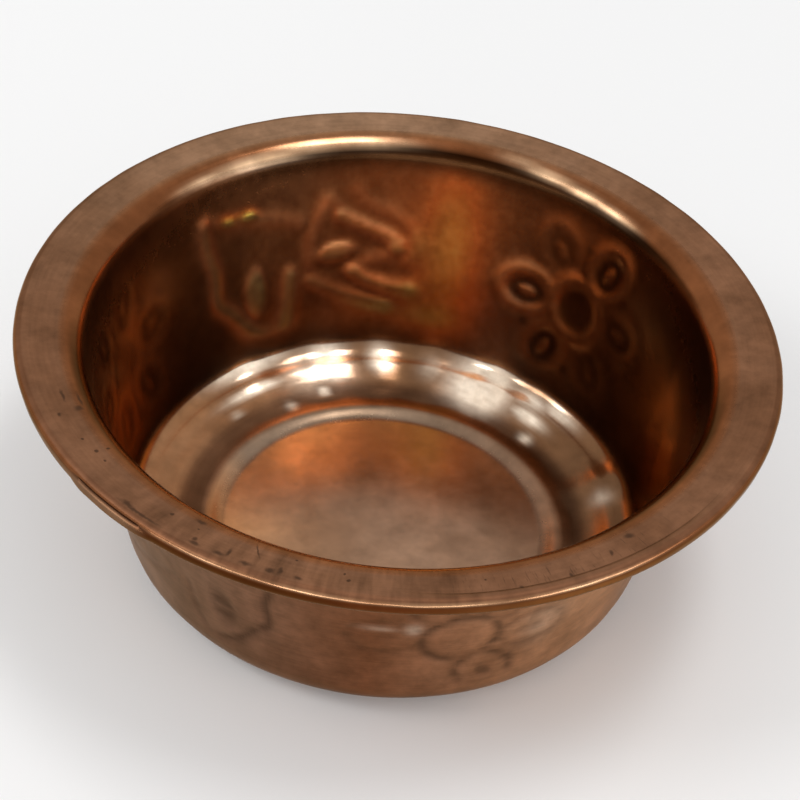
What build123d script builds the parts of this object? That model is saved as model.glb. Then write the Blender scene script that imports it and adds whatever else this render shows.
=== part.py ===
"""Offering bowl raised from one round of copper sheet.

A pressed foot, a flat floor, a rounded corner, a leaning wall and a flat flange follow
one another as bends and straight runs of a sheet of even thickness. The edge of the
flange is set down and rolled over a ring of copper wire, which stiffens the rim.
The axis of the bowl is Z, and the bowl stands on Z = 0.
"""
import os
from math import acos, atan2, cos, degrees, radians, sin, tan

from build123d import *

# Bowl: millimetres and degrees
rim_diameter = 100.0  # across the rolled edge
height = 36.4  # from the foot's underside to the top of the rolled edge
sheet = 0.6  # thickness of the copper sheet
flange_width = 7.5  # from the rim's edge in to the mouth
base_diameter = 69.4  # outside of the wall, carried down to the base
corner_radius = 6.15  # inside the corner between wall and floor
flange_bend = 3.0  # under the bend between wall and flange

# Foot, pressed out of the floor
foot_diameter = 47.2  # at half the foot's depth
foot_depth = 0.8
foot_bend = 4.0  # inside each of the two bends at the foot's edge

# Rolled edge and its wire
wire_diameter = 0.9
wire_clearance = 0.05  # all round the wire
crease_radius = 0.4  # in the crease where the flange is set down beside the roll
crease_angle = 40.0  # from the flange up to the roll
roll_angle = 275.0  # from the crease over the wire to the lip
wire_gap = 0.6  # between the wire's two ends
wire_gap_azimuth = 234.0

# Rolled edge, seen in section round the wire's centre
roll_radius = wire_diameter / 2 + wire_clearance
bead_radius = roll_radius + sheet
wire_ring_radius = rim_diameter / 2 - bead_radius
wire_height = height - bead_radius
crease_outside = crease_radius + sheet
crease_lean = radians(crease_angle)
crease_end_x = wire_ring_radius - roll_radius * sin(crease_lean)
crease_end_z = wire_height + roll_radius * cos(crease_lean)
flange_end = crease_end_x - crease_outside * sin(crease_lean)
flange_underside = crease_end_z - crease_outside * (1 - cos(crease_lean))

# Foot's edge: two opposite bends that climb the foot's depth
step_bends = 2 * foot_bend + sheet
step_lean = acos(1 - foot_depth / step_bends)
step_reach = step_bends * sin(step_lean)

# Straight runs of the sheet between its bends
mouth_diameter = rim_diameter - 2 * flange_width  # outside of the wall, carried up to the flange
wall_rise = flange_underside - foot_depth
wall_spread = (mouth_diameter - base_diameter) / 2
wall_lean = atan2(wall_rise, wall_spread)
corner_outside = corner_radius + sheet
corner_reach = corner_outside * tan(wall_lean / 2)
flange_reach = flange_bend * tan(wall_lean / 2)
foot_run = (foot_diameter - step_reach) / 2
floor_run = base_diameter / 2 - corner_reach - foot_run - step_reach
wall_run = (wall_rise**2 + wall_spread**2) ** 0.5 - corner_reach - flange_reach
flange_run = flange_end - mouth_diameter / 2 - flange_reach


def straight_on(before, run):
    """A straight run that carries on from the end of the line or bend before it."""
    return Line(before @ 1, before @ 1 + before % 1 * run)


def bend_on(before, radius, turn):
    """A bend that carries on from the line before it, to the left where turn is above zero."""
    return JernArc(before @ 1, before % 1, radius, degrees(turn))


def sheet_face(lift):
    """One face of the sheet from the foot's middle to the lip, lift above its outer face."""
    foot = Line((0, lift), (foot_run, lift))
    step_up = bend_on(foot, foot_bend + sheet - lift, step_lean)
    step_out = bend_on(step_up, foot_bend + lift, -step_lean)
    floor = straight_on(step_out, floor_run)
    corner = bend_on(floor, corner_outside - lift, wall_lean)
    wall = straight_on(corner, wall_run)
    shoulder = bend_on(wall, flange_bend + lift, -wall_lean)
    flange = straight_on(shoulder, flange_run)
    crease = bend_on(flange, crease_outside - lift, crease_lean)
    roll = bend_on(crease, roll_radius + lift, -radians(roll_angle))
    return foot @ 0, roll @ 1


# Bowl: the bent sheet's section, turned once round the axis
with BuildPart() as bowl_shell:
    with BuildSketch(Plane.XZ) as section:
        with BuildLine():
            outer_middle, outer_lip = sheet_face(0)
            inner_middle, inner_lip = sheet_face(sheet)
            Line(outer_middle, inner_middle)
            Line(outer_lip, inner_lip)
        make_face()
    revolve(axis=Axis.Z)

# Wire: a ring cut to length, whose two ends almost meet inside the roll
gap_turn = degrees(wire_gap / wire_ring_radius)
wire_start = radians(wire_gap_azimuth + gap_turn / 2)
wire_end_plane = Plane(
    origin=(0, 0, 0),
    x_dir=(cos(wire_start), sin(wire_start), 0),
    z_dir=(sin(wire_start), -cos(wire_start), 0),
)
with BuildPart() as rim_wire:
    with BuildSketch(wire_end_plane):
        with Locations((wire_ring_radius, wire_height)):
            Circle(wire_diameter / 2)
    revolve(axis=Axis.Z, revolution_arc=360 - gap_turn)

# Finished pieces, one file each
bowl_shell.part.label = "bowl_shell"
rim_wire.part.label = "rim_wire"
os.makedirs("parts", exist_ok=True)
export_step(bowl_shell.part, "parts/bowl_shell.step")
export_step(rim_wire.part, "parts/rim_wire.step")
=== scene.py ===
"""Offering bowl: the raised copper bowl and the wire in its rolled edge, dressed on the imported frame."""
import math

import bpy
import numpy as np
from mathutils import Matrix, Vector


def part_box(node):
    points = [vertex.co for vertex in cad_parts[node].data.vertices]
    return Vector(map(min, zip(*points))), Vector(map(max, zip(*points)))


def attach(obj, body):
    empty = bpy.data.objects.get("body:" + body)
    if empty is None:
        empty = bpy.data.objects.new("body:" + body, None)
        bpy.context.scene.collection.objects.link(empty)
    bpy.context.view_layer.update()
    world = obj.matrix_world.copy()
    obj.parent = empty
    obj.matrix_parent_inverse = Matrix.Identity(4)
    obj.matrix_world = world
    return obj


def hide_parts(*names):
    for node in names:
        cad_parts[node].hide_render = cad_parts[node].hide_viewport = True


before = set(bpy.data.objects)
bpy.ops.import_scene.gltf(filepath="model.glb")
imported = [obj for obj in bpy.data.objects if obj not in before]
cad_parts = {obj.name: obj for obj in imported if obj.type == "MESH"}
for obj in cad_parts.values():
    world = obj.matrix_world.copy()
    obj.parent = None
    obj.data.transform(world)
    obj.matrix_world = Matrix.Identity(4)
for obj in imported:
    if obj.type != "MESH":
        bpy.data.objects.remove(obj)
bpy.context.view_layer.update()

# Camera
# Looks down at the bowl from the front, turned a little about its own view line,
# so the bowl's right side sits lower in the picture than its left.
MM = 0.001
PICTURE_PX = 800
SENSOR_MM = 36.0
wire_low, wire_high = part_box("rim_wire")
wire_height = (wire_low.z + wire_high.z) / 2
rim_centre = Vector((0, 0, wire_height))
focal_px = 2400.0
camera_distance = 312.95 * MM
camera_elevation = math.radians(39.185)
camera_roll = math.radians(5.672)
rim_centre_px = (400.95, 333.67)

to_camera = Vector((0, -math.cos(camera_elevation), math.sin(camera_elevation)))
camera_right = Vector((1, 0, 0))
camera_up = to_camera.cross(camera_right)
facing = Matrix((camera_right, camera_up, to_camera)).transposed()
tilt_down = math.atan((PICTURE_PX / 2 - rim_centre_px[1]) / focal_px)
turn_left = math.atan((rim_centre_px[0] - PICTURE_PX / 2) / focal_px)
turned = facing @ Matrix.Rotation(camera_roll, 3, "Z")
turned = turned @ Matrix.Rotation(-tilt_down, 3, "X") @ Matrix.Rotation(turn_left, 3, "Y")

lens = bpy.data.cameras.new("camera")
lens.sensor_width = SENSOR_MM
lens.lens = focal_px / PICTURE_PX * SENSOR_MM
lens.clip_start = 0.01
lens.clip_end = 20
camera = bpy.data.objects.new("camera", lens)
camera.matrix_world = Matrix.Translation(rim_centre + to_camera * camera_distance) @ turned.to_4x4()
bpy.context.scene.collection.objects.link(camera)
bpy.context.scene.camera = camera

# Bowl
# One round of copper sheet, raised by hand into foot, floor, corner, wall and flange. Its edge is rolled
# over a wire, emblems are chased into the wall from outside, and years of handling have browned it.
sheet = 0.6 * MM
mouth_radius = 42.5 * MM
base_radius = 34.7 * MM
corner_radius = 6.15 * MM
flange_bend = 3.0 * MM
foot_radius = 23.6 * MM
foot_depth = 0.8 * MM
foot_bend = 4.0 * MM
wire_clearance = 0.05 * MM
crease_radius = 0.4 * MM
crease_turn = math.radians(40)
roll_turn = math.radians(275)

wire_radius = (wire_high.z - wire_low.z) / 2
wire_ring_radius = wire_high.x - wire_radius
roll_radius = wire_radius + wire_clearance
crease_outside = crease_radius + sheet
crease_end_r = wire_ring_radius - roll_radius * math.sin(crease_turn)
crease_end_z = wire_height + roll_radius * math.cos(crease_turn)
flange_end = crease_end_r - crease_outside * math.sin(crease_turn)
flange_underside = crease_end_z - crease_outside * (1 - math.cos(crease_turn))
step_bends = 2 * foot_bend + sheet
step_turn = math.acos(1 - foot_depth / step_bends)
step_reach = step_bends * math.sin(step_turn)
wall_rise = flange_underside - foot_depth
wall_spread = mouth_radius - base_radius
wall_turn = math.atan2(wall_rise, wall_spread)
corner_reach = (corner_radius + sheet) * math.tan(wall_turn / 2)
flange_reach = flange_bend * math.tan(wall_turn / 2)
foot_run = foot_radius - step_reach / 2
floor_run = base_radius - corner_reach - foot_run - step_reach
wall_run = math.hypot(wall_rise, wall_spread) - corner_reach - flange_reach
flange_run = flange_end - mouth_radius - flange_reach

FOOT, STEP_UP, STEP_OUT, FLOOR, CORNER, WALL, SHOULDER, FLANGE, CREASE, ROLL, LIP = range(11)
INNER_ROWS = (5, 4, 4, 6, 12, 48, 8, 6, 3, 22)
OUTER_ROWS = (1, 3, 3, 2, 6, 44, 4, 3, 2, 5)
COLUMNS = 512
FULL_TURN = 360
CURVE_STEPS = 7
TINY = 1e-9


def sheet_face(lift, rows):
    """Section of one face of the sheet from the axis to the lip, lift above the sheet's outer face.

    A straight run adds its length along the heading. A bend of radius p, turning the heading from a to b,
    adds p (sin b - sin a, cos a - cos b), with p taken as negative in a bend to the right.
    Gives each row's radius, height, heading and place, which counts stretches: 5.5 is half up the wall.
    """
    stretches = (
        (foot_run, 0),
        (foot_bend + sheet - lift, step_turn),
        (foot_bend + lift, -step_turn),
        (floor_run, 0),
        (corner_radius + sheet - lift, wall_turn),
        (wall_run, 0),
        (flange_bend + lift, -wall_turn),
        (flange_run, 0),
        (crease_outside - lift, crease_turn),
        (roll_radius + lift, -roll_turn),
    )
    point = np.array([0.0, lift])
    heading = 0.0
    parts = []
    for number, ((size, turn), count) in enumerate(zip(stretches, rows)):
        share = np.linspace(0, 1, count + 1)
        headings = heading + turn * share
        if turn:
            reach = math.copysign(size, turn)
            r = point[0] + reach * (np.sin(headings) - math.sin(heading))
            z = point[1] + reach * (math.cos(heading) - np.cos(headings))
        else:
            r = point[0] + size * share * math.cos(heading)
            z = point[1] + size * share * math.sin(heading)
        last = None if number == LIP - 1 else -1
        parts.append(np.stack([r, z, headings, number + share])[:, :last])
        point = np.array([r[-1], z[-1]])
        heading += turn
    return np.concatenate(parts, axis=1)


inner = sheet_face(sheet, INNER_ROWS)
outer = sheet_face(0.0, OUTER_ROWS)[:, ::-1]
is_inner = np.concatenate([np.ones(inner.shape[1], bool), np.zeros(outer.shape[1], bool)])[1:-1, None]
rows = np.concatenate([inner, outer], axis=1)[:, 1:-1]
row_count = rows.shape[1]
row_heading = rows[2][:, None]
around = np.linspace(0, 2 * math.pi, COLUMNS, endpoint=False)
radius, height, place, azimuth = np.broadcast_arrays(*rows[[0, 1, 3], :, None], around)
turn = np.degrees(azimuth)


def bell(distance, width):
    """Height 1 on a line or point and falling away smoothly over the width beside it."""
    return np.exp(-((distance / width) ** 2))


def beyond(value, low, soft):
    """0 up to a value and 1 beyond it, with a smooth change of the soft width."""
    share = np.clip((value - low) / soft + 0.5, 0, 1)
    return share * share * (3 - 2 * share)


def within(value, low, high, soft):
    """1 between two values and 0 beyond them, with a smooth change of the soft width at both ends."""
    return beyond(value, low, soft) * (1 - beyond(value, high, soft))


def turned_from(degrees):
    """Angle round the axis from an azimuth in degrees to each vertex, in radians between -pi and pi."""
    return (azimuth - math.radians(degrees) + math.pi) % (2 * math.pi) - math.pi


def ripple(along, waves, longest, seed):
    """Uneven hand work between -1 and 1: a sum of waves round and along the sheet at chosen phases."""
    chosen = np.random.default_rng(seed)
    rounds = chosen.integers(1, longest, waves)
    lengths = chosen.uniform(-1, 1, waves) * longest
    phases = chosen.uniform(0, 2 * math.pi, waves)
    total = np.zeros(azimuth.shape)
    for turns, length, phase in zip(rounds, lengths, phases):
        total += np.cos(turns * azimuth + length * along + phase)
    return total / waves


# Emblems on the unrolled wall, seen from inside: x to the right and y up from the middle, in millimetres.
# Each has its azimuth in degrees, its middle's height above the table, its size, and how deep each of its
# marks is: on a flower the ring and then its petals from the right round, on a shell lines and then ovals.
flowers = (
    (49.5, 19.0, 1.0, (1.0, 0.5, 0.9, 0.3, 1.0, 1.0, 0.35)),
    (169.0, 19.0, 1.0, (0.3, 0.3, 0.3, 0.3, 0.4, 0.4, 0.3)),
    (286.8, 18.0, 1.12, (1.0, 0.4, 0.7, 0.7, 0.6, 1.0, 0.1)),
)
emblem_half_turn = math.radians(34)
emblem_places = (WALL + 0.06, WALL + 0.99, 0.10)
ring_radius = 4.45
petal_count = 6
first_petal = math.radians(5)
petal_middle = 8.7
petal_half_length = 4.2
petal_half_width = 3.2
petal_boss_half_length = 1.9
petal_boss_half_width = 1.0
# A flower's ground is painted darker as shade, with dark dots between its petals
shade_dot_distance = 9.5
shade_dot_size = 0.8
ring_shade_strength = 0.5
ring_shade_soft = 1.0
# Edges and their softness, as shares of an oval's reach
petal_shade_edge = (0.65, 0.3)
boss_edge = (0.8, 0.9)
boss_height = 0.8
shell_oval_edge = (0.9, 0.9)
shell_lines = (
    ((-17.8, 9.4), (-17.4, 5.4), (-16.2, 1.4), (-15.9, -3.2), (-13.6, -5.8), (-10.2, -10.0), (-7.4, -11.5)),
    ((-7.4, -11.5), (-5.2, -10.8), (-4.2, -7.0), (-3.7, -2.4)),
    ((-17.6, 9.4), (-13.0, 8.3), (-9.0, 7.6), (-5.0, 6.6), (-2.0, 5.6)),
    ((-0.6, -1.2), (-0.6, 1.6), (0.0, 4.0), (1.2, 6.2), (2.4, 8.2)),
    ((2.4, 8.4), (3.2, 7.6), (4.3, 5.8)),
    ((4.3, 5.8), (8.3, 3.8), (11.4, 2.4), (12.4, 0.9)),
    ((11.6, -0.2), (8.5, -1.3), (5.8, -2.6)),
    ((5.8, -2.8), (8.0, -4.4), (11.0, -5.4), (14.0, -5.7)),
    ((-0.5, -3.9), (2.0, -5.4), (4.5, -6.6), (7.5, -7.6), (10.5, -8.2)),
    ((6.8, 9.8), (8.5, 7.4), (12.0, 6.0), (14.6, 4.0), (15.2, 1.4), (13.5, -1.0)),
)
# Middle across and up, half-length, half-width and slant in degrees
shell_ovals = (
    (-9.3, -3.9, 3.9, 1.9, 90), (3.2, 0.2, 3.2, 1.6, 12),
    (4.2, 5.9, 1.3, 1.0, -40), (12.0, 0.9, 1.3, 1.1, -60), (5.8, -2.9, 1.3, 1.1, 20),
    (-13.4, 8.4, 1.4, 0.7, 0), (-9.9, 8.2, 1.5, 0.75, 0),
)
faint = 0.12
shells = (
    (111.1, 19.1, 1.0,
     (1.0, 0.9, 0.4, 0.45, 0.4, 0.7, 0.35, 0.8, 0.7, 0.25, 1.0, 0.8, 0.7, 0.8, 0.8, 0.8, 0.8)),
    (226.4, 19.0, 1.0,
     (1.0, 0.4, 0.3, 0.2, 0.2, 0.3, 0.2, 0.3, 0.3, 0.1, 1.0, 0.3, 0.2, 0.2, 0.2, 0.2, 0.2)),
    (350.0, 19.0, 1.0, (faint,) * (len(shell_lines) + len(shell_ovals))),
)


def near_curve(x, y, points):
    """Distance to a smooth curve through the points, a Catmull-Rom spline cut into short straight pieces.

    Between points b and c, with a before and d after them, the curve at share t is half of
    2 b + (c - a) t + (2 a - 5 b + 4 c - d) t squared + (3 b - a - 3 c + d) t cubed.
    """
    given = np.array(points)
    ends = np.concatenate([[2 * given[0] - given[1]], given, [2 * given[-1] - given[-2]]])
    t = np.linspace(0, 1, CURVE_STEPS)[:, None]
    a, b, c, d = ends[:-3, None], ends[1:-2, None], ends[2:-1, None], ends[3:, None]
    spans = 2 * b + (c - a) * t + (2 * a - 5 * b + 4 * c - d) * t**2 + (3 * b - a - 3 * c + d) * t**3
    curve = spans.reshape(-1, 2) / 2
    nearest = np.full(x.shape, np.inf)
    for (x0, y0), (x1, y1) in zip(curve[:-1], curve[1:]):
        dx, dy = x1 - x0, y1 - y0
        share = np.clip(((x - x0) * dx + (y - y0) * dy) / (dx * dx + dy * dy + TINY**2), 0, 1)
        nearest = np.minimum(nearest, np.hypot(x - x0 - share * dx, y - y0 - share * dy))
    return nearest


def in_oval(x, y, turn, half_length, half_width):
    """Distance from a turned oval's middle as a share of its own reach: 1 on its edge."""
    out = x * math.cos(turn) + y * math.sin(turn)
    across = y * math.cos(turn) - x * math.sin(turn)
    return np.hypot(out / half_length, across / half_width) + TINY


def petals(x, y):
    """For each petal of a flower: its turn, and x and y from its middle."""
    for number in range(petal_count):
        turn = first_petal + number * 2 * math.pi / petal_count
        yield turn, x - petal_middle * math.cos(turn), y - petal_middle * math.sin(turn)


def inside(oval, edge):
    """1 inside an oval and 0 outside it. The edge is a share of the oval's reach, with its softness."""
    return 1 - beyond(oval, *edge)


def flower_ridges(x, y, width, depths):
    """Flower: a ring and six oval petals round it, with a small boss in each petal."""
    level = depths[0] * bell(np.hypot(x, y) - ring_radius, width)
    for depth, (turn, px, py) in zip(depths[1:], petals(x, y)):
        edge = np.hypot(px, py) * (1 - 1 / in_oval(px, py, turn, petal_half_length, petal_half_width))
        boss = inside(in_oval(px, py, turn, petal_boss_half_length, petal_boss_half_width), boss_edge)
        level = np.maximum(level, depth * np.maximum(bell(edge, width), boss_height * boss))
    return level


def flower_shade(x, y, width, depths):
    """Painted shade on a flower's ground: in its ring and round the petals' bosses, with dark dots between
    the petals.
    """
    in_ring = inside(np.hypot(x, y), (ring_radius - width, ring_shade_soft))
    level = ring_shade_strength * depths[0] * in_ring
    for depth, (turn, px, py) in zip(depths[1:], petals(x, y)):
        ground = inside(in_oval(px, py, turn, petal_half_length, petal_half_width), petal_shade_edge)
        boss = inside(in_oval(px, py, turn, petal_boss_half_length, petal_boss_half_width), boss_edge)
        dot_turn = turn + math.pi / petal_count
        dot = np.hypot(x - shade_dot_distance * math.cos(dot_turn), y - shade_dot_distance * math.sin(dot_turn))
        level = np.maximum(level, depth * np.maximum(ground * (1 - boss), bell(dot, shade_dot_size)))
    return level


def shell_ridges(x, y, width, depths):
    """Conch shell: its mouth as a pouch on the left with a boss in it, its whorls curling to the right."""
    level = np.zeros(x.shape)
    for depth, points in zip(depths, shell_lines):
        level = np.maximum(level, depth * bell(near_curve(x, y, points), width))
    oval_depths = depths[len(shell_lines):]
    for depth, (across, up, half_length, half_width, slant) in zip(oval_depths, shell_ovals):
        oval = in_oval(x - across, y - up, math.radians(slant), half_length, half_width)
        level = np.maximum(level, depth * inside(oval, shell_oval_edge))
    return level


def chased(emblems, pattern):
    """One kind of mark over the wall, 0 to 1: each emblem lies flat on the unrolled wall."""
    level = np.zeros(azimuth.shape)
    width = np.broadcast_to(np.where(is_inner, ridge_width, groove_width), azimuth.shape)
    on_wall = within(place, *emblem_places)
    for centre, middle, size, depths in emblems:
        near = (np.abs(turned_from(centre)) < emblem_half_turn) & (on_wall > 0)
        x = -turned_from(centre)[near] * radius[near] / (MM * size)
        y = (height[near] / MM - middle) / (math.sin(wall_turn) * size)
        level[near] = np.maximum(level[near], pattern(x, y, width[near], depths) * on_wall[near])
    return level


# Hand work: emblems stand up as soft ridges inside and sink as fine grooves outside, the corner is filled
# to a cove with dents, wall and roll are uneven, and the roll gapes along a slit above its lip.
# Rows of places, turns, starts and ends close with the width of the soft change there.
ridge_width = 1.35
ridge_depth = 0.25 * MM
groove_width = 0.68
groove_depth = 0.25 * MM
groove_mean = 0.9
groove_swing = 1.4
groove_least = 0.5
mouth_stretch = 0.5 * MM
cove_height = 1.3 * MM
cove_radius = 28.4 * MM
cove_swing = 0.8 * MM
cove_reach = 6.0 * MM
floor_wave = 0.06 * MM
hand_wave = 0.05 * MM
bead_wave = 0.07 * MM
dent_depth = 0.34 * MM
dent_azimuths = (128.7, 112.0, 95.2, 81.2, 65.4, 52.5, 19.1, 215.0, 262.0)
dent_reach = 2.7 * MM
dent_height = 3.6 * MM
dent_places = (FLOOR + 0.3, WALL + 0.3, 0.6)
roll_places = (CREASE + 0.3, LIP, 0.5)
raised_places = (FLOOR, FLANGE + 0.7, 0.6)
stretched_places = (WALL + 0.6, FLANGE + 0.3, 0.8)
cove_end = (CORNER + 0.6, 0.5)
floor_wave_end = (FLOOR + 0.6, 0.8)
floor_wave_start = (0.6, 0.7)
lip_place = ROLL + 0.63
lip_width = 0.05
lip_height = 0.18 * MM
slit_azimuth = 229.0
slit_half_turn = math.radians(8)
slit_fullness = 1.2
slit_squareness = 4
slit_place = ROLL + 0.40
slit_width = 0.04
slit_depth = 0.35 * MM
flare_place = slit_place + 0.18
flare_width = 0.12
flare_height = 0.30 * MM
crease_turns = (278, 326, 16)
sharp_turn = math.radians(60)

uneven = groove_mean + groove_swing * ripple(6 * height / wall_rise, waves=12, longest=24, seed=7)
pressure = np.where(is_inner, 1, np.clip(uneven, groove_least, 1))
on_flowers = chased(flowers, flower_ridges) * pressure
on_shells = chased(shells, shell_ridges) * pressure
# Painted shade on the flowers' ground, used for colour only
in_flower_shade = chased(flowers, flower_shade) * is_inner
relief = np.maximum(on_flowers, on_shells)
dents = np.zeros(azimuth.shape)
for centre in dent_azimuths:
    dents += bell(np.hypot(turned_from(centre) * radius, height - dent_height), dent_reach)
dents *= within(place, *dent_places) * is_inner
rolled = within(place, *roll_places) * is_inner
raised = within(place, *raised_places)
slit_ends = np.abs(turned_from(slit_azimuth) / slit_half_turn) ** slit_squareness
slit_length = np.clip(slit_fullness - slit_ends, 0, 1) * is_inner
slit = slit_length * bell(place - slit_place, slit_width)

# Away from the right front the flange rises gently to the roll's top, so that no crease shows there
flange_top = flange_underside + sheet
roll_top = wire_height + roll_radius + sheet
flange_start = mouth_radius + flange_reach
share = np.clip((radius - flange_start) / (wire_ring_radius - flange_start), 0, 1)
even_height = flange_top + (roll_top - flange_top) * share * share * (3 - 2 * share)
beside_roll = is_inner & (place >= FLANGE) & (place <= ROLL + crease_turn / roll_turn)
flush = np.where(beside_roll, even_height - height, 0) * (1 - within(turn, *crease_turns))

lift = np.where(is_inner, ridge_depth, groove_depth) * relief
lift = lift + dent_depth * dents
cove = beyond(radius - cove_swing * np.cos(azimuth), cove_radius, cove_reach)
lift = lift + cove_height * cove * (1 - beyond(place, *cove_end)) * is_inner
in_foot = (1 - beyond(place, *floor_wave_end)) * beyond(radius / foot_radius, *floor_wave_start) * is_inner
lift = lift + floor_wave * in_foot * ripple(radius / foot_radius, waves=10, longest=7, seed=11)
lift = lift + hand_wave * raised * ripple(place, waves=14, longest=16, seed=3)
lift = lift + bead_wave * rolled * ripple(0.3 * place, waves=20, longest=60, seed=5)
lift = lift + lip_height * is_inner * bell(place - lip_place, lip_width)
lift = lift + flare_height * slit_length * bell(place - flare_place, flare_width) - slit_depth * slit
out_of_round = -mouth_stretch * within(place, *stretched_places) * np.cos(2 * azimuth)
dressed_radius = radius - lift * np.sin(row_heading) + out_of_round
dressed_height = height + lift * np.cos(row_heading) + flush
level_x, level_y = dressed_radius * np.cos(azimuth), dressed_radius * np.sin(azimuth)
points = np.stack([level_x, level_y, dressed_height], axis=-1)
poles = np.array([[0, 0, sheet], [0, 0, 0]])
grid = np.arange(row_count * COLUMNS).reshape(row_count, COLUMNS)
onward = np.roll(grid, -1, axis=1)
quads = np.stack([grid[:-1], grid[1:], onward[1:], onward[:-1]], axis=-1).reshape(-1, 4)
floor_fan = np.stack([np.full(COLUMNS, grid.size), grid[0], onward[0]], axis=-1)
foot_fan = np.stack([np.full(COLUMNS, grid.size + 1), onward[-1], grid[-1]], axis=-1)
faces = quads.tolist() + floor_fan.tolist() + foot_fan.tolist()
mesh = bpy.data.meshes.new("bowl")
mesh.from_pydata(np.concatenate([points.reshape(-1, 3), poles]).tolist(), [], faces)
mesh.shade_smooth()
mesh.set_sharp_from_angle(angle=sharp_turn)

# Copper's tone along each face of the sheet: place, red, green, blue and dullness.
# Inside, painted reflections are laid into it: the dark bands on the floor ring, at the top of the corner,
# at the top of the wall, on the shoulder and on the roll's top and outer face stand for dark surroundings,
# and the lighter bands on the step and at the lip stand for reflected light.
inner_tones_and_shade = (
    (FOOT, 0.30, 0.180, 0.116, 0.20),
    (STEP_UP, 0.30, 0.175, 0.110, 0.22),
    (STEP_UP + 0.25, 0.21, 0.118, 0.073, 0.26),
    (STEP_UP + 0.75, 0.25, 0.138, 0.082, 0.26),
    (STEP_OUT + 0.25, 0.27, 0.146, 0.085, 0.24),
    (STEP_OUT + 0.75, 0.17, 0.086, 0.047, 0.24),
    (FLOOR + 0.05, 0.090, 0.042, 0.021, 0.24),
    (FLOOR + 0.60, 0.100, 0.046, 0.023, 0.22),
    (FLOOR + 0.95, 0.255, 0.125, 0.060, 0.18),
    (CORNER + 0.72, 0.265, 0.130, 0.062, 0.18),
    (CORNER + 0.92, 0.12, 0.063, 0.035, 0.24),
    (WALL + 0.06, 0.21, 0.105, 0.050, 0.24),
    (WALL + 0.30, 0.305, 0.138, 0.058, 0.24),
    (WALL + 0.75, 0.305, 0.136, 0.056, 0.24),
    (WALL + 0.94, 0.110, 0.044, 0.018, 0.32),
    (SHOULDER + 0.12, 0.060, 0.024, 0.010, 0.40),
    (SHOULDER + 0.22, 0.165, 0.074, 0.037, 0.22),
    (SHOULDER + 0.70, 0.172, 0.078, 0.040, 0.22),
    (FLANGE, 0.184, 0.086, 0.046, 0.30),
    (ROLL + 0.14, 0.184, 0.086, 0.046, 0.32),
    (ROLL + 0.18, 0.150, 0.067, 0.035, 0.50),
    (ROLL + 0.28, 0.150, 0.067, 0.035, 0.50),
    (ROLL + 0.33, 0.17, 0.080, 0.042, 0.22),
    (ROLL + 0.36, 0.17, 0.080, 0.042, 0.18),
    (ROLL + 0.41, 0.11, 0.045, 0.020, 0.14),
    (ROLL + 0.58, 0.11, 0.045, 0.020, 0.20),
    (ROLL + 0.63, 0.26, 0.130, 0.055, 0.25),
    (LIP, 0.20, 0.090, 0.040, 0.30),
)
outer_tones = (
    (FOOT, 0.22, 0.10, 0.05, 0.42),
    (CORNER, 0.23, 0.10, 0.045, 0.40),
    (WALL + 0.3, 0.26, 0.108, 0.046, 0.34),
    (SHOULDER, 0.26, 0.108, 0.046, 0.36),
    (LIP, 0.20, 0.095, 0.05, 0.45),
)
# Tone of the roll's outer face round the bowl: azimuth, red, green, blue and dullness.
# Its dark brown is painted reflection of dark surroundings, and it is paler beside the slit.
bead_reflection_tones = (
    (206, 0.10, 0.040, 0.014, 0.20),
    (214, 0.150, 0.080, 0.046, 0.34),
    (233, 0.180, 0.097, 0.054, 0.34),
    (237, 0.07, 0.020, 0.005, 0.15),
    (258, 0.07, 0.019, 0.004, 0.15),
    (272, 0.115, 0.030, 0.008, 0.15),
    (300, 0.20, 0.075, 0.022, 0.15),
    (330, 0.13, 0.052, 0.018, 0.18),
)
# Gains round the bowl: azimuth, then on red, green and blue. On the outer wall they paint light:
# greyer on the left and much lighter on the right, where the wall reflects the floor in the bowl's shadow.
# On the floor disc they paint reflections of the wall: golden on the left, darker at the back and right.
outside_painted_light = (
    (190, 0.95, 1.4, 2.3), (225, 0.93, 1.4, 2.3), (270, 0.88, 0.85, 0.98),
    (315, 1.95, 2.6, 3.5), (350, 1.3, 1.5, 1.8),
)
floor_painted_reflections = (
    (30, 0.80, 0.84, 0.88), (90, 0.74, 0.92, 1.05), (150, 0.80, 1.00, 1.15),
    (190, 1.85, 1.55, 1.05), (250, 1.2, 1.15, 1.0), (330, 0.95, 0.95, 0.95),
)
# Painted shade and reflections on all colours alike: azimuth, then gains on the inner wall and on the cove.
# The wall is darkest on the right and lightest at the back.
inside_painted_shade = (
    (0, 0.24, 0.54), (30, 0.31, 0.55), (50, 0.66, 0.85), (66, 0.98, 0.95),
    (80, 1.15, 0.58), (125, 1.8, 0.98), (145, 1.0, 1.05), (175, 0.94, 1.15),
    (215, 0.8, 1.0), (300, 0.8, 0.9), (340, 0.34, 0.60),
)
# Painted warm reflections on the inner wall, the two small ones orange glints on the shell:
# azimuth, height, half-width, half-height in millimetres, and gains
warm_reflections = (
    (81, 20, 5, 14, (3.2, 2.3, 1.3)),
    (95, 9.5, 13, 2.2, (1.6, 1.6, 1.4)),
    (130.6, 27.9, 1.4, 0.9, (1.2, 0.3, -0.4)),
    (125.8, 27.8, 1.5, 0.9, (1.4, 0.4, -0.4)),
    (161, 26, 6, 5, (1.0, 0.8, 0.5)),
)
# Gains where marks lie: painted reflected light on the flange's back, painted highlights and wear on
# ridges, painted shade in the flowers' ground and at the mouth, and a golden tint of the painted highlights
back_sheen_gain = np.array([0.50, 0.85, 1.05, 0])
flower_wear_and_sheen = np.array([0.9, 0.9, 0.8, 0])
shell_wear_and_sheen = np.array([2.0, 2.0, 2.3, 0])
hollow_shade_gain = np.array([-0.65, -0.65, -0.65, 0])
mouth_shade_gain = np.array([-0.85, -0.86, -0.87, 0])
golden_tint_loss = np.array([0, 0.22, 0.42])
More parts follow.
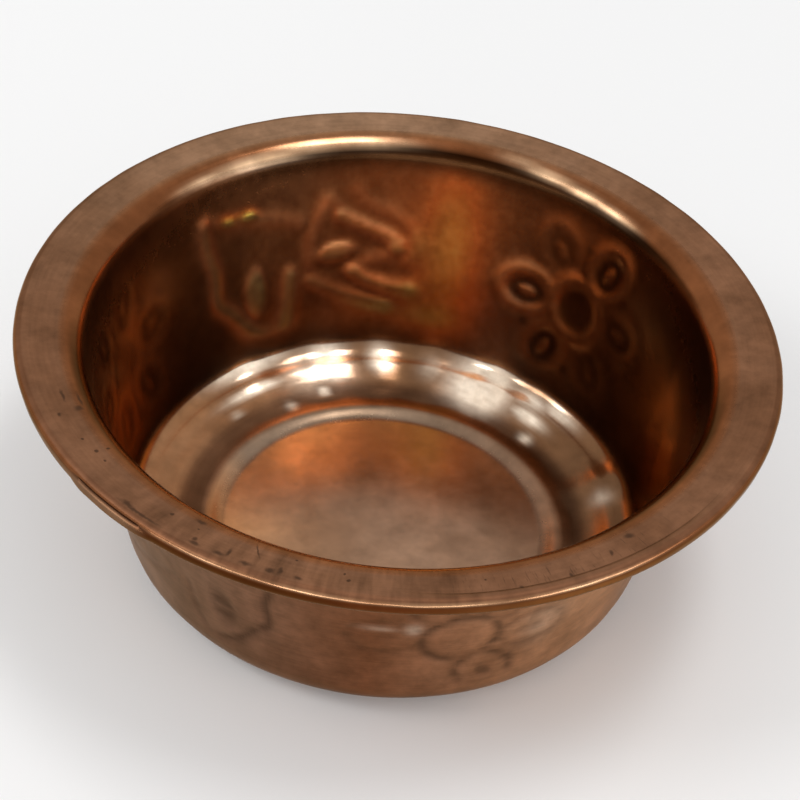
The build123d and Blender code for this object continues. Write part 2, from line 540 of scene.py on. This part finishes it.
# Stretches of azimuth in degrees and of place along the sheet, each with the width of its soft change
shade_climb_turns = (20, 145, 30)
shade_climb_most_turns = (48, 102, 30)
shade_climb_places = (WALL + 0.9, SHOULDER + 0.9, 0.4)
mouth_shade_back_turns = (25, 130, 30)
mouth_shade_front_turns = (190, 350, 20)
mouth_shade_front_places = (SHOULDER + 0.2, SHOULDER + 0.64, 0.12)
bead_places = (ROLL + 0.42, ROLL + 0.59, 0.06)
warm_reflection_places = (WALL - 0.1, WALL + 0.98, 0.2)
back_sheen_places = (SHOULDER + 0.8, ROLL + 0.2, 0.3)
wall_shade_places = (WALL - 0.1, SHOULDER + 0.1, 0.3)
cove_shade_places = (FLOOR + 0.25, WALL - 0.1, 0.3)
floor_end = (STEP_OUT + 0.6, 0.5)
golden_tint_roll_places = (ROLL + 0.30, ROLL + 0.41, 0.04)
golden_tint_shoulder_places = (SHOULDER + 0.2, SHOULDER + 0.9, 0.2)
crease_shade_turns = (278, 326, 12)
flange_places = (SHOULDER + 0.7, ROLL + 0.35, 0.2)
streak_turns = (234, 285, 14)
scratch_turns = (278, 322, 14)
scratch_places = (FLANGE + 0.1, CREASE + 0.9, 0.4)
brushed_wall_places = (WALL, SHOULDER, 0.3)
# How far the painted shade at the wall's top climbs up the shoulder in places, where the back starts in
# radians, and strengths of marks
shade_climb_back = 0.22
shade_climb_most = 0.12
mouth_shade_front_share = 0.9
back_sheen_start = 0.3
crease_shade_place = CREASE + 0.7
crease_shade_width = 0.3
crease_shade_strength = 0.75
groove_darkening = 0.8
streak_least = 0.15
flange_brushed = 0.7
wall_brushed = 0.25
# Painted highlights, standing for reflections of lamps and of the surround: azimuth, place, half-turn in
# degrees, half-reach in places, and strength. A strength of more than 1 widens the highlight's middle.
highlight_copper = np.array([0.95, 0.80, 0.65, 0.16])
brightest = 0.95
highlight_break_swing = 0.8
highlight_break_least = 0.8
highlights_inside = (
    (130.0, CORNER + 0.80, 9.0, 0.16, 1.5),
    (132.0, CORNER + 0.26, 8.0, 0.10, 1.4),
    (141.0, FLOOR + 0.90, 2.0, 0.10, 0.7),
    (109.0, CORNER + 0.42, 4.5, 0.42, 1.5),
    (113.0, CORNER + 0.30, 9.0, 0.50, 0.5),
    (112.0, FLOOR + 0.62, 1.8, 0.15, 0.9),
    (124.0, FLOOR + 0.30, 1.8, 0.15, 0.5),
    (95.0, CORNER + 0.50, 2.8, 0.25, 1.3),
    (81.0, CORNER + 0.40, 3.2, 0.25, 0.3),
    (66.0, CORNER + 0.30, 7.0, 0.60, 1.9),
    (53.0, CORNER + 0.55, 5.0, 0.12, 1.4),
    (44.0, CORNER + 0.64, 5.0, 0.12, 0.9),
    (50.0, CORNER + 0.20, 5.0, 0.12, 1.4),
    (45.5, FLOOR + 0.60, 2.2, 0.20, 0.7),
    (13.5, CORNER + 0.33, 2.5, 0.20, 0.3),
    (101.0, SHOULDER + 0.53, 8.0, 0.15, 0.65),
    (111.0, SHOULDER + 0.50, 7.0, 0.15, 0.75),
    (122.0, SHOULDER + 0.38, 9.0, 0.14, 0.95),
    (135.0, SHOULDER + 0.37, 5.0, 0.10, 0.65),
    (70.0, SHOULDER + 0.66, 4.0, 0.14, 0.4),
    (64.0, SHOULDER + 0.54, 5.0, 0.13, 0.66),
    (56.0, SHOULDER + 0.46, 4.5, 0.12, 0.56),
    (48.0, SHOULDER + 0.40, 5.0, 0.11, 0.52),
    (247.0, ROLL + 0.345, 8.0, 0.022, 0.6),
    (262.0, ROLL + 0.345, 9.0, 0.022, 0.68),
    (280.0, ROLL + 0.345, 10.0, 0.024, 0.7),
    (299.0, ROLL + 0.345, 10.0, 0.026, 0.6),
)
highlights_outside = (
    (277.5, WALL + 0.55, 1.6, 0.04, 0.5),
    (271.3, WALL + 0.55, 3.4, 0.02, 0.3),
    (304.0, WALL + 0.42, 4.5, 0.16, 0.25),
)


def read_stops(stops, where, period=None):
    """Each column of the stops at the places or azimuths given, by straight lines from stop to stop."""
    stations, *columns = np.array(stops).T
    return np.stack([np.interp(where, stations, column, period=period) for column in columns], axis=-1)


def highlighted(patches):
    """How much painted highlight lies on the sheet, 0 to 1: soft ovals round the bowl and along the sheet.
    """
    level = np.zeros(azimuth.shape)
    for centre, middle, half_turn, half_reach, strength in patches:
        aside = turned_from(centre) / math.radians(half_turn)
        level = np.maximum(level, strength * bell(np.hypot(aside, (place - middle) / half_reach), 1))
    return np.minimum(level, 1)


# Painted shade climbs further up the shoulder at the back: the tones are read from lower down the sheet
# there
shade_climb = shade_climb_back * within(turn, *shade_climb_turns)
shade_climb = shade_climb + shade_climb_most * within(turn, *shade_climb_most_turns)
# Painted shade where the wall turns into the flange: a dark band at the back and a dark line at the front
mouth_shade_back = within(turn, *mouth_shade_back_turns) * within(place, WALL + 0.97, SHOULDER + 0.10 + shade_climb, 0.14)
mouth_shade_front = mouth_shade_front_share * within(turn, *mouth_shade_front_turns) * within(place, *mouth_shade_front_places)
mouth_shade = (mouth_shade_back + mouth_shade_front) * is_inner
read_at = place - shade_climb * within(place, *shade_climb_places)
# The tone along the sheet, with painted shade and reflections laid into it
tone_and_light = np.where(is_inner[..., None], read_stops(inner_tones_and_shade, read_at), read_stops(outer_tones, place))
# Painted reflections on the roll's outer face
on_bead = within(place, *bead_places) * is_inner
tone_and_light = tone_and_light + on_bead[..., None] * (read_stops(bead_reflection_tones, turn, FULL_TURN) - tone_and_light)
# Painted warm reflections and glints on the inner wall
warm_reflection_area = within(place, *warm_reflection_places) * is_inner
for centre, middle, half_width, half_height, gains in warm_reflections:
    aside = turned_from(centre) * radius / (half_width * MM)
    patch = warm_reflection_area * bell(np.hypot(aside, (height - middle * MM) / (half_height * MM)), 1)
    tone_and_light[..., :3] *= 1 + patch[..., None] * gains
# Painted reflected light on the back of the flange
back_sheen_side = np.clip(np.sin(azimuth - back_sheen_start), 0, 1) ** 2
# Painted light and shade as gains: flange back, ridges (highlights and rubbed wear), flowers' ground, mouth
# edge
marks = (
    (within(place, *back_sheen_places) * is_inner * back_sheen_side, back_sheen_gain),
    (on_flowers * is_inner, flower_wear_and_sheen),
    (on_shells * is_inner, shell_wear_and_sheen),
    (in_flower_shade, hollow_shade_gain),
    (mouth_shade, mouth_shade_gain),
)
for amount, gain in marks:
    tone_and_light = tone_and_light * (1 + amount[..., None] * gain)
# Painted shade and reflections on the inner wall and cove, by azimuth
wall_shade_gain, cove_shade_gain = np.moveaxis(read_stops(inside_painted_shade, turn, FULL_TURN), -1, 0)
for places, gain in ((wall_shade_places, wall_shade_gain), (cove_shade_places, cove_shade_gain)):
    amount = within(place, *places) * is_inner
    tone_and_light[..., :3] *= (1 + amount * (gain - 1))[..., None]
# Painted reflections on the floor disc, stronger towards its edge
floor_reflection_share = (1 - beyond(place, *floor_end)) * np.clip(radius / foot_radius, 0, 1) ** 2 * is_inner
tone_and_light[..., :3] *= 1 + floor_reflection_share[..., None] * (read_stops(floor_painted_reflections, turn, FULL_TURN) - 1)
# Painted light on the outer wall, by azimuth
tone_and_light[..., :3] *= np.where(is_inner[..., None], 1, read_stops(outside_painted_light, turn, FULL_TURN))
# Painted highlights, broken up along the sheet by a ripple
highlight_share = np.where(is_inner, highlighted(highlights_inside), highlighted(highlights_outside))
highlight_break = 1 + highlight_break_swing * ripple(3 * place, waves=12, longest=50, seed=13)
highlight_share = highlight_share * np.clip(highlight_break, highlight_break_least, 1)
tone_and_light = np.minimum(tone_and_light + highlight_share[..., None] * (highlight_copper - tone_and_light), brightest)
# Painted highlights on the roll and shoulder, and the tone round them, lose green and blue to read golden
golden_tinted = within(place, *golden_tint_roll_places) + within(place, *golden_tint_shoulder_places)
tone_and_light[..., :3] *= 1 - (golden_tinted * is_inner)[..., None] * golden_tint_loss
tone = np.concatenate([tone_and_light[..., :3], np.ones(azimuth.shape + (1,))], axis=-1)
dullness = tone_and_light[..., 3]
# Painted shade in the crease at the right front and in the slit under the roll; outside, grooves drawn
# darker
crease_shade = bell(place - crease_shade_place, crease_shade_width) * within(turn, *crease_shade_turns)
shade_and_darkening = np.where(is_inner, crease_shade_strength * crease_shade + slit, groove_darkening * relief)
on_flange = within(place, *flange_places) * is_inner
streaked = on_flange * (streak_least + (1 - streak_least) * within(turn, *streak_turns))
scratched = on_flange * within(turn, *scratch_turns) * within(place, *scratch_places)
brushed_inside = flange_brushed * on_flange + wall_brushed * within(place, *brushed_wall_places)
brushed = np.where(is_inner, brushed_inside, 1)
wear = np.stack([streaked, scratched, brushed, np.ones(azimuth.shape)], axis=-1)


def give(name, kind, field, values):
    """Stores one value per vertex on the bowl's mesh; the two poles take those of the rows beside them."""
    flat = values.reshape(row_count * COLUMNS, -1)
    flat = np.concatenate([flat, flat[:1], flat[-1:]])
    mesh.attributes.new(name, kind, "POINT").data.foreach_set(field, flat.astype(np.float32).ravel())


give("tone", "FLOAT_COLOR", "color", tone)
give("dullness", "FLOAT", "value", dullness)
give("shade_and_darkening", "FLOAT", "value", np.clip(shade_and_darkening, 0, 1))
give("wear", "FLOAT_COLOR", "color", wear)


def feed(tree, socket, value):
    """Links another node's socket to this one, or stores a plain value in it."""
    if isinstance(value, bpy.types.NodeSocket):
        tree.links.new(value, socket)
    else:
        socket.default_value = value


def node(tree, kind, operation=None, **inputs):
    """A shader node with its inputs set, i0 being the first: a value is stored, and a socket is linked."""
    made = tree.nodes.new("ShaderNode" + kind)
    if operation:
        made.operation = operation
    for key, value in inputs.items():
        name = int(key[1:]) if key[1:].isdigit() else key.replace("_", " ")
        feed(tree, made.inputs[name], value)
    return made


def reckon(tree, operation, *values):
    """A Math node's result for up to three values or sockets."""
    return node(tree, "Math", operation, **{f"i{n}": value for n, value in enumerate(values)}).outputs[0]


def noise(tree, spot, scale, detail=2.0, roughness=0.5):
    """Noise between 0 and 1 at so many features to the unit of the spot."""
    return node(tree, "TexNoise", Vector=spot, Scale=scale, Detail=detail, Roughness=roughness).outputs[0]


def ramp(tree, value, low, high):
    """0 at low, 1 at high, and smooth between them."""
    made = node(tree, "MapRange", Value=value, From_Min=low, From_Max=high)
    made.interpolation_type = "SMOOTHSTEP"
    return made.outputs[0]


def blend_colour(tree, share, first, second):
    """Two colours mixed: all of the first at share 0, all of the second at 1."""
    made = tree.nodes.new("ShaderNodeMix")
    made.data_type = "RGBA"
    for number, value in ((0, share), (6, first), (7, second)):
        feed(tree, made.inputs[number], value)
    return made.outputs[2]


def new_group(name, given, results):
    """An empty node group with named inputs and outputs of the socket kinds; gives it and its two ends."""
    group = bpy.data.node_groups.new(name, "ShaderNodeTree")
    for in_out, sockets in (("INPUT", given), ("OUTPUT", results)):
        for socket, kind in sockets:
            group.interface.new_socket(socket, in_out=in_out, socket_type="NodeSocket" + kind)
    return group, group.nodes.new("NodeGroupInput").outputs, group.nodes.new("NodeGroupOutput").inputs


def from_axis(tree):
    """Object coordinates: the spot, its parts, its level part and its distance from the axis."""
    spot = node(tree, "TexCoord").outputs["Object"]
    parts = node(tree, "SeparateXYZ", Vector=spot).outputs
    flat = node(tree, "CombineXYZ", X=parts["X"], Y=parts["Y"]).outputs[0]
    return spot, parts, flat, node(tree, "VectorMath", "LENGTH", i0=flat).outputs["Value"]


# Noise is read aside from the axis, where all its sizes would start from one point and form a fan
grain_shift = (0.3137, 0.1719, 0.2341)
cloud_dark = (0.82, 0.78, 0.73, 1)
cloud_light = (1.14, 1.14, 1.13, 1)
# The brown that painted shade and dirt darken the copper toward
shade_and_dirt_brown = (0.045, 0.024, 0.015, 1)
shade_and_dirt_cover = 0.85
shade_and_dirt_rough = 0.2
hair_dirt = 0.55
hair_depth = 0.6
speck_rough = 0.12
grain_height = 0.25
ring_height = 0.4


def worn_copper_group():
    """Worn copper from a tone: brown clouds and specks, brushed rings, radial streaks, scratches, dirt and
    painted shade.

    Wear holds how streaked, scratched and brushed the sheet is, in red, green and blue.
    """
    group, given, result = new_group(
        "worn_copper",
        (("Tone", "Color"), ("Dullness", "Float"), ("ShadeAndDirt", "Float"), ("Wear", "Color")),
        (("Colour", "Color"), ("Roughness", "Float"), ("Height", "Float")),
    )
    spot, parts, flat, out = from_axis(group)
    bearing = node(group, "VectorMath", "NORMALIZE", i0=flat).outputs[0]
    climb = reckon(group, "ADD", parts["Z"], out)
    streaked, scratched, brushed = node(group, "SeparateColor", Color=given["Wear"]).outputs

    def drawn_out(round_scale, along_scale, along):
        """Noise stretched along or across the bearing: features to the radian and to the metre."""
        turned_spot = node(group, "VectorMath", "SCALE", i0=bearing, Scale=round_scale).outputs[0]
        level = node(group, "CombineXYZ", Z=reckon(group, "MULTIPLY", along, along_scale)).outputs[0]
        return noise(group, node(group, "VectorMath", "ADD", i0=turned_spot, i1=level).outputs[0], 1.0, 3.0)

    streaks = drawn_out(40.0, 120.0, out)
    hairs = reckon(group, "MULTIPLY", ramp(group, drawn_out(210.0, 480.0, out), 0.58, 0.70), scratched)
    rings = drawn_out(5.0, 2200.0, climb)
    off_axis = node(group, "VectorMath", "ADD", i0=spot, i1=grain_shift).outputs[0]
    clouds = ramp(group, noise(group, off_axis, 80, 4.0, 0.55), 0.3, 0.72)
    mottle = noise(group, off_axis, 230, 4.0, 0.6)
    specks = noise(group, off_axis, 700, 4.0, 0.65)

    clouded = blend_colour(group, clouds, cloud_dark, cloud_light)
    shade = node(group, "VectorMath", "MULTIPLY", i0=given["Tone"], i1=clouded).outputs[0]
    gain = 1.0
    swings = ((streaks, streaked, 1.0), (rings, brushed, 0.45), (specks, brushed, 0.7), (mottle, 1.0, 0.85))
    for pattern, amount, depth in swings:
        swing = reckon(group, "MULTIPLY", reckon(group, "SUBTRACT", pattern, 0.5), depth)
        gain = reckon(group, "MULTIPLY_ADD", swing, amount, gain)
    shade = node(group, "VectorMath", "SCALE", i0=shade, Scale=gain).outputs[0]
    # Painted shade and dirt, with the dirt in scratches, darken the copper toward brown
    shade_and_dirt = reckon(group, "MAXIMUM", given["ShadeAndDirt"], reckon(group, "MULTIPLY", hairs, hair_dirt))
    shaded_and_dirtied = blend_colour(group, reckon(group, "MULTIPLY", shade_and_dirt, shade_and_dirt_cover), shade, shade_and_dirt_brown)
    group.links.new(shaded_and_dirtied, result["Colour"])

    rough = reckon(group, "MULTIPLY_ADD", specks, speck_rough, -speck_rough / 2)
    rough = reckon(group, "ADD", rough, given["Dullness"])
    group.links.new(reckon(group, "MULTIPLY_ADD", shade_and_dirt, shade_and_dirt_rough, rough), result["Roughness"])

    level = reckon(group, "MULTIPLY", noise(group, off_axis, 2600), grain_height)
    level = reckon(group, "MULTIPLY_ADD", rings, reckon(group, "MULTIPLY", brushed, ring_height), level)
    group.links.new(reckon(group, "MULTIPLY_ADD", hairs, -hair_depth, level), result["Height"])
    return group


worn_copper = worn_copper_group()

# Smears on the flange: azimuth, distance from the axis, half-width round and half-length out in
# millimetres, and slant in degrees. Pits have azimuth, distance and half-width.
flange_middle = 46.0
ragged_reach = 0.6
mark_cover = 0.9
smear_edge = (0.0, 0.8)
pit_edge = (0.1, 0.5)
smears = (
    (205.5, 45.4, 1.7, 0.3, 0), (209.2, 44.2, 0.8, 0.9, 0), (207.0, 43.6, 2.0, 0.3, 0),
    (209.8, 46.9, 0.5, 0.4, 0), (231.6, 48.5, 1.4, 0.6, 0), (234.0, 48.7, 4.4, 0.35, 0),
    (243.2, 47.8, 0.45, 0.6, -20), (243.6, 48.4, 1.1, 0.5, 0), (247.5, 48.4, 1.0, 0.5, 0),
    (248.6, 47.6, 0.4, 1.1, 0), (251.5, 48.4, 1.1, 0.6, 0), (252.1, 45.6, 0.16, 1.9, -32),
    (255.2, 48.3, 0.8, 0.6, 0), (256.5, 47.8, 0.4, 1.0, 0), (259.2, 48.3, 0.8, 0.5, 0),
    (241.8, 44.8, 1.1, 0.5, 0), (290.4, 48.2, 0.5, 0.5, 0), (298.3, 47.9, 0.3, 0.7, 0),
    (305.8, 46.7, 0.35, 0.8, 25), (310.4, 45.4, 1.0, 0.5, 20),
)
pits = (
    (216.2, 46.1, 0.25), (219.5, 45.7, 0.40), (222.0, 45.7, 0.30), (219.8, 44.2, 0.30), (237.4, 45.9, 0.35),
    (258.0, 45.3, 0.25), (266.2, 47.0, 0.35), (265.3, 45.9, 0.25), (242.5, 46.1, 0.20), (285.9, 46.1, 0.20),
)


def flange_marks_group():
    """Dark smears and pits on the flange: ovals on the unrolled flange, with edges made ragged by noise."""
    group, _, result = new_group("flange_marks", (), (("Smears", "Float"), ("Pits", "Float")))
    spot, parts, _, metres_out = from_axis(group)
    out = reckon(group, "DIVIDE", metres_out, MM)
    aside = reckon(group, "MULTIPLY", reckon(group, "ARCTAN2", parts["Y"], parts["X"]), flange_middle)
    ragged = node(group, "TexNoise", Vector=spot, Scale=1100.0, Detail=3.0).outputs["Color"]
    reach = Vector((ragged_reach, ragged_reach, 0))
    ragged = node(group, "VectorMath", "MULTIPLY_ADD", i0=ragged, i1=reach, i2=-reach / 2).outputs[0]
    unrolled = node(group, "CombineXYZ", X=aside, Y=out).outputs[0]
    unrolled = node(group, "VectorMath", "ADD", i0=unrolled, i1=ragged).outputs[0]

    def ovals(marks):
        """1 in the middle of the marks and 0 from their edges on."""
        mask = 0.0
        for turn, distance, half_width, half_length, slant in marks:
            middle = (math.radians(turn - 360) * flange_middle, distance, 0)
            slanted = (0, 0, math.radians(slant))
            size = (half_width, half_length, 1)
            fitted = node(group, "Mapping", Vector=unrolled, Location=middle, Rotation=slanted, Scale=size)
            fitted.vector_type = "TEXTURE"
            ball = node(group, "TexGradient", Vector=fitted.outputs[0])
            ball.gradient_type = "SPHERICAL"
            mask = reckon(group, "MAXIMUM", mask, ball.outputs["Fac"])
        return mask

    group.links.new(ramp(group, ovals(smears), *smear_edge), result["Smears"])
    round_pits = tuple((turn, distance, size, size, 0) for turn, distance, size in pits)
    group.links.new(ramp(group, ovals(round_pits), *pit_edge), result["Pits"])
    return group


edge_tint = (0.82, 0.68, 0.56, 1)


def copper_finish(name, bump_depth):
    """A copper material on the worn copper group; gives the material, its tree and the group's node."""
    material = bpy.data.materials.new(name)
    material.use_nodes = True
    tree = material.node_tree
    shader = tree.nodes["Principled BSDF"]
    shader.inputs["Metallic"].default_value = 1.0
    shader.inputs["Specular Tint"].default_value = edge_tint
    worn = tree.nodes.new("ShaderNodeGroup")
    worn.node_tree = worn_copper
    bump = node(tree, "Bump", Height=worn.outputs["Height"], Strength=0.35, Distance=bump_depth)
    tree.links.new(worn.outputs["Colour"], shader.inputs["Base Color"])
    tree.links.new(worn.outputs["Roughness"], shader.inputs["Roughness"])
    tree.links.new(bump.outputs[0], shader.inputs["Normal"])
    return material, tree, worn


def attribute(tree, name, field):
    """A vertex attribute's value or colour in a material."""
    reader = tree.nodes.new("ShaderNodeAttribute")
    reader.attribute_name = name
    return reader.outputs[field]


bowl_copper, bowl_tree, bowl_worn = copper_finish("aged_bowl_copper", bump_depth=0.04 * MM)
flange_marks = bowl_tree.nodes.new("ShaderNodeGroup")
flange_marks.node_tree = flange_marks_group()
smeared = reckon(bowl_tree, "MULTIPLY", flange_marks.outputs["Smears"], mark_cover)
pitted = reckon(bowl_tree, "MULTIPLY", flange_marks.outputs["Pits"], mark_cover)
# Dark on the bowl: painted shade from its attribute, and the flange's smears and pits
bowl_shade_and_dirt = reckon(bowl_tree, "MAXIMUM", attribute(bowl_tree, "shade_and_darkening", "Fac"), smeared)
bowl_shade_and_dirt = reckon(bowl_tree, "MAXIMUM", bowl_shade_and_dirt, pitted)
bowl_tree.links.new(attribute(bowl_tree, "tone", "Color"), bowl_worn.inputs["Tone"])
bowl_tree.links.new(attribute(bowl_tree, "dullness", "Fac"), bowl_worn.inputs["Dullness"])
bowl_tree.links.new(bowl_shade_and_dirt, bowl_worn.inputs["ShadeAndDirt"])
bowl_tree.links.new(attribute(bowl_tree, "wear", "Color"), bowl_worn.inputs["Wear"])
mesh.materials.append(bowl_copper)
bowl = bpy.data.objects.new("bowl", mesh)
bpy.context.scene.collection.objects.link(bowl)
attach(bowl, "root")
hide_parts("bowl_shell")

# Rim wire
# A ring of drawn copper wire inside the rolled edge, cut to length with its ends almost meeting.
# It is plain and browned, and shows only through the narrow slit under the roll.
wire_copper, _, wire_worn = copper_finish("drawn_wire_copper", bump_depth=0.02 * MM)
wire_worn.inputs["Tone"].default_value = (0.36, 0.17, 0.08, 1)
wire_worn.inputs["Dullness"].default_value = 0.35
wire_worn.inputs["ShadeAndDirt"].default_value = 0.2
wire_worn.inputs["Wear"].default_value = (0, 0, 0.3, 1)
rim_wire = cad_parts["rim_wire"]
rim_wire.data.materials.clear()
rim_wire.data.materials.append(wire_copper)

# Floor and light
# A plain pale floor under the bowl, and a white surround that lights less than it shows in reflections.
# Five broad soft lamps stand above, at the left and in front.
floor_half = 3.0
corners = ((-floor_half, -floor_half, 0), (floor_half, -floor_half, 0), (floor_half, floor_half, 0),
           (-floor_half, floor_half, 0))
floor_mesh = bpy.data.meshes.new("floor")
floor_mesh.from_pydata(corners, [], [(0, 1, 2, 3)])
floor = bpy.data.objects.new("floor", floor_mesh)
bpy.context.scene.collection.objects.link(floor)
pale = bpy.data.materials.new("pale_floor")
pale.use_nodes = True
pale_shader = pale.node_tree.nodes["Principled BSDF"]
pale_shader.inputs["Base Color"].default_value = (0.90, 0.90, 0.90, 1)
pale_shader.inputs["Roughness"].default_value = 0.9
pale_shader.inputs["Specular IOR Level"].default_value = 0.1
floor_mesh.materials.append(pale)

soft_light = 0.65
world = bpy.data.worlds.new("studio")
bpy.context.scene.world = world
world.use_nodes = True
sky = world.node_tree
paths = sky.nodes.new("ShaderNodeLightPath").outputs
shown = reckon(sky, "MAXIMUM", paths["Is Camera Ray"], paths["Is Glossy Ray"])
shown = reckon(sky, "MAXIMUM", shown, paths["Is Transmission Ray"])
strength = reckon(sky, "MULTIPLY_ADD", shown, 1 - soft_light, soft_light)
sky.nodes["Background"].inputs["Color"].default_value = (1, 1, 1, 1)
sky.links.new(strength, sky.nodes["Background"].inputs["Strength"])

# Each lamp's place and its two sizes in metres, and its power in watts
lamps = (
    ("lamp_above", (0.20, 0.02, 0.92), 0.40, 0.20, 1.7),
    ("lamp_left", (-0.66, -0.20, 0.66), 0.36, 0.36, 2.2),
    ("lamp_front", (0.0, -0.92, 0.29), 0.90, 0.10, 1.1),
    ("lamp_front_left", (-0.62, -0.71, 0.28), 0.80, 0.10, 1.0),
    ("lamp_front_right", (0.80, -0.46, 0.28), 0.80, 0.14, 1.5),
)
for name, spot, width, breadth, power in lamps:
    light = bpy.data.lights.new(name, "AREA")
    light.shape = "RECTANGLE"
    light.size = width
    light.size_y = breadth
    light.energy = power
    lamp = bpy.data.objects.new(name, light)
    lamp.location = spot
    lamp.rotation_euler = (rim_centre - Vector(spot)).to_track_quat("-Z", "Y").to_euler()
    bpy.context.scene.collection.objects.link(lamp)

bpy.context.scene.view_settings.view_transform = "Standard"
